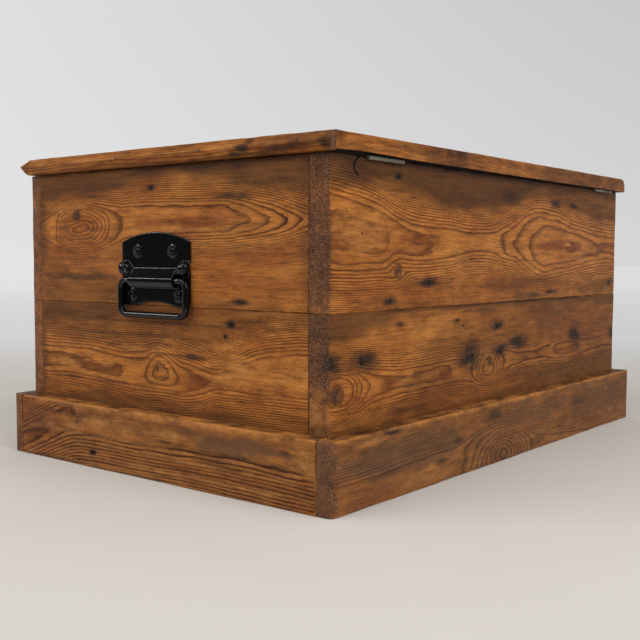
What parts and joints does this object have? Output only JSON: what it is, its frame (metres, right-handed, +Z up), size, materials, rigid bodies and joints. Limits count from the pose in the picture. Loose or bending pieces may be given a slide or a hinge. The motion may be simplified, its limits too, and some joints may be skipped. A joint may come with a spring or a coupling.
{
  "type": "storage chest",
  "caption": "Waxed pine storage chest with a hinged lid, edge mouldings, a plinth and a black drop handle on each end.",
  "frame": {"origin": "floor level under the middle of the plinth", "axes": "+X along the length, to the right seen from the front; +Y towards the hinged back; +Z up"},
  "size_m": [0.8, 0.545, 0.3894],
  "materials": {
    "pine_sides": "old pine, waxed satin, dark stains and nail marks",
    "pine_plinth": "old pine, waxed satin, worn arrises",
    "pine_lid": "old pine, waxed satin",
    "pine_hidden": "bare old pine",
    "handle_black": "gloss black japanned steel",
    "hinge_steel": "dull worn steel",
    "nail_iron": "dark oxidised iron"
  },
  "bodies": {
    "carcass": {"back_left_corner_post": "pine_hidden", "back_lower_board": "pine_sides", "back_nails": "nail_iron", "back_right_corner_post": "pine_hidden", "back_upper_board": "pine_sides", "bottom_board_1": "pine_hidden", "bottom_board_2": "pine_hidden", "bottom_board_3": "pine_hidden", "bottom_board_4": "pine_hidden", "bottom_nails": "nail_iron", "front_left_corner_post": "pine_hidden", "front_lower_board": "pine_sides", "front_nails": "nail_iron", "front_right_corner_post": "pine_hidden", "front_upper_board": "pine_sides", "hinge_carcass_screws": "hinge_steel", "left_end_lower_board": "pine_sides", "left_end_upper_board": "pine_sides", "left_handle_plate": "handle_black", "left_handle_screws": "handle_black", "left_hinge_carcass_leaf": "hinge_steel", "left_hinge_pin": "hinge_steel", "plinth_back": "pine_plinth", "plinth_corner_nails": "nail_iron", "plinth_face_nails": "nail_iron", "plinth_front": "pine_plinth", "plinth_glue_blocks": "pine_hidden", "plinth_left": "pine_plinth", "plinth_right": "pine_plinth", "right_end_lower_board": "pine_sides", "right_end_upper_board": "pine_sides", "right_handle_plate": "handle_black", "right_handle_screws": "handle_black", "right_hinge_carcass_leaf": "hinge_steel", "right_hinge_pin": "hinge_steel"},
    "lid": {"batten_nails": "nail_iron", "hinge_lid_screws": "hinge_steel", "left_hinge_lid_leaf": "hinge_steel", "lid_back_board": "pine_lid", "lid_front_board": "pine_lid", "lid_front_moulding": "pine_lid", "lid_left_batten": "pine_hidden", "lid_left_moulding": "pine_lid", "lid_middle_board": "pine_lid", "lid_right_batten": "pine_hidden", "lid_right_moulding": "pine_lid", "moulding_nails": "nail_iron", "right_hinge_lid_leaf": "hinge_steel"},
    "right_bail": {"right_handle_bail": "handle_black"},
    "left_bail": {"left_handle_bail": "handle_black"}
  },
  "joints": [
    {"name": "lid_hinge", "type": "hinge", "parent": "carcass", "child": "lid", "pos_m": [0, 0.2544, 0.3672], "axis": [-1, 0, 0], "range_deg": [0, 125]},
    {"name": "right_bail_swing", "type": "hinge", "parent": "carcass", "child": "right_bail", "pos_m": [0.385, -0.0075, 0.234], "axis": [0, -1, 0], "range_deg": [0, 100]},
    {"name": "left_bail_swing", "type": "hinge", "parent": "carcass", "child": "left_bail", "pos_m": [-0.385, -0.0075, 0.234], "axis": [0, 1, 0], "range_deg": [0, 100]}
  ]
}
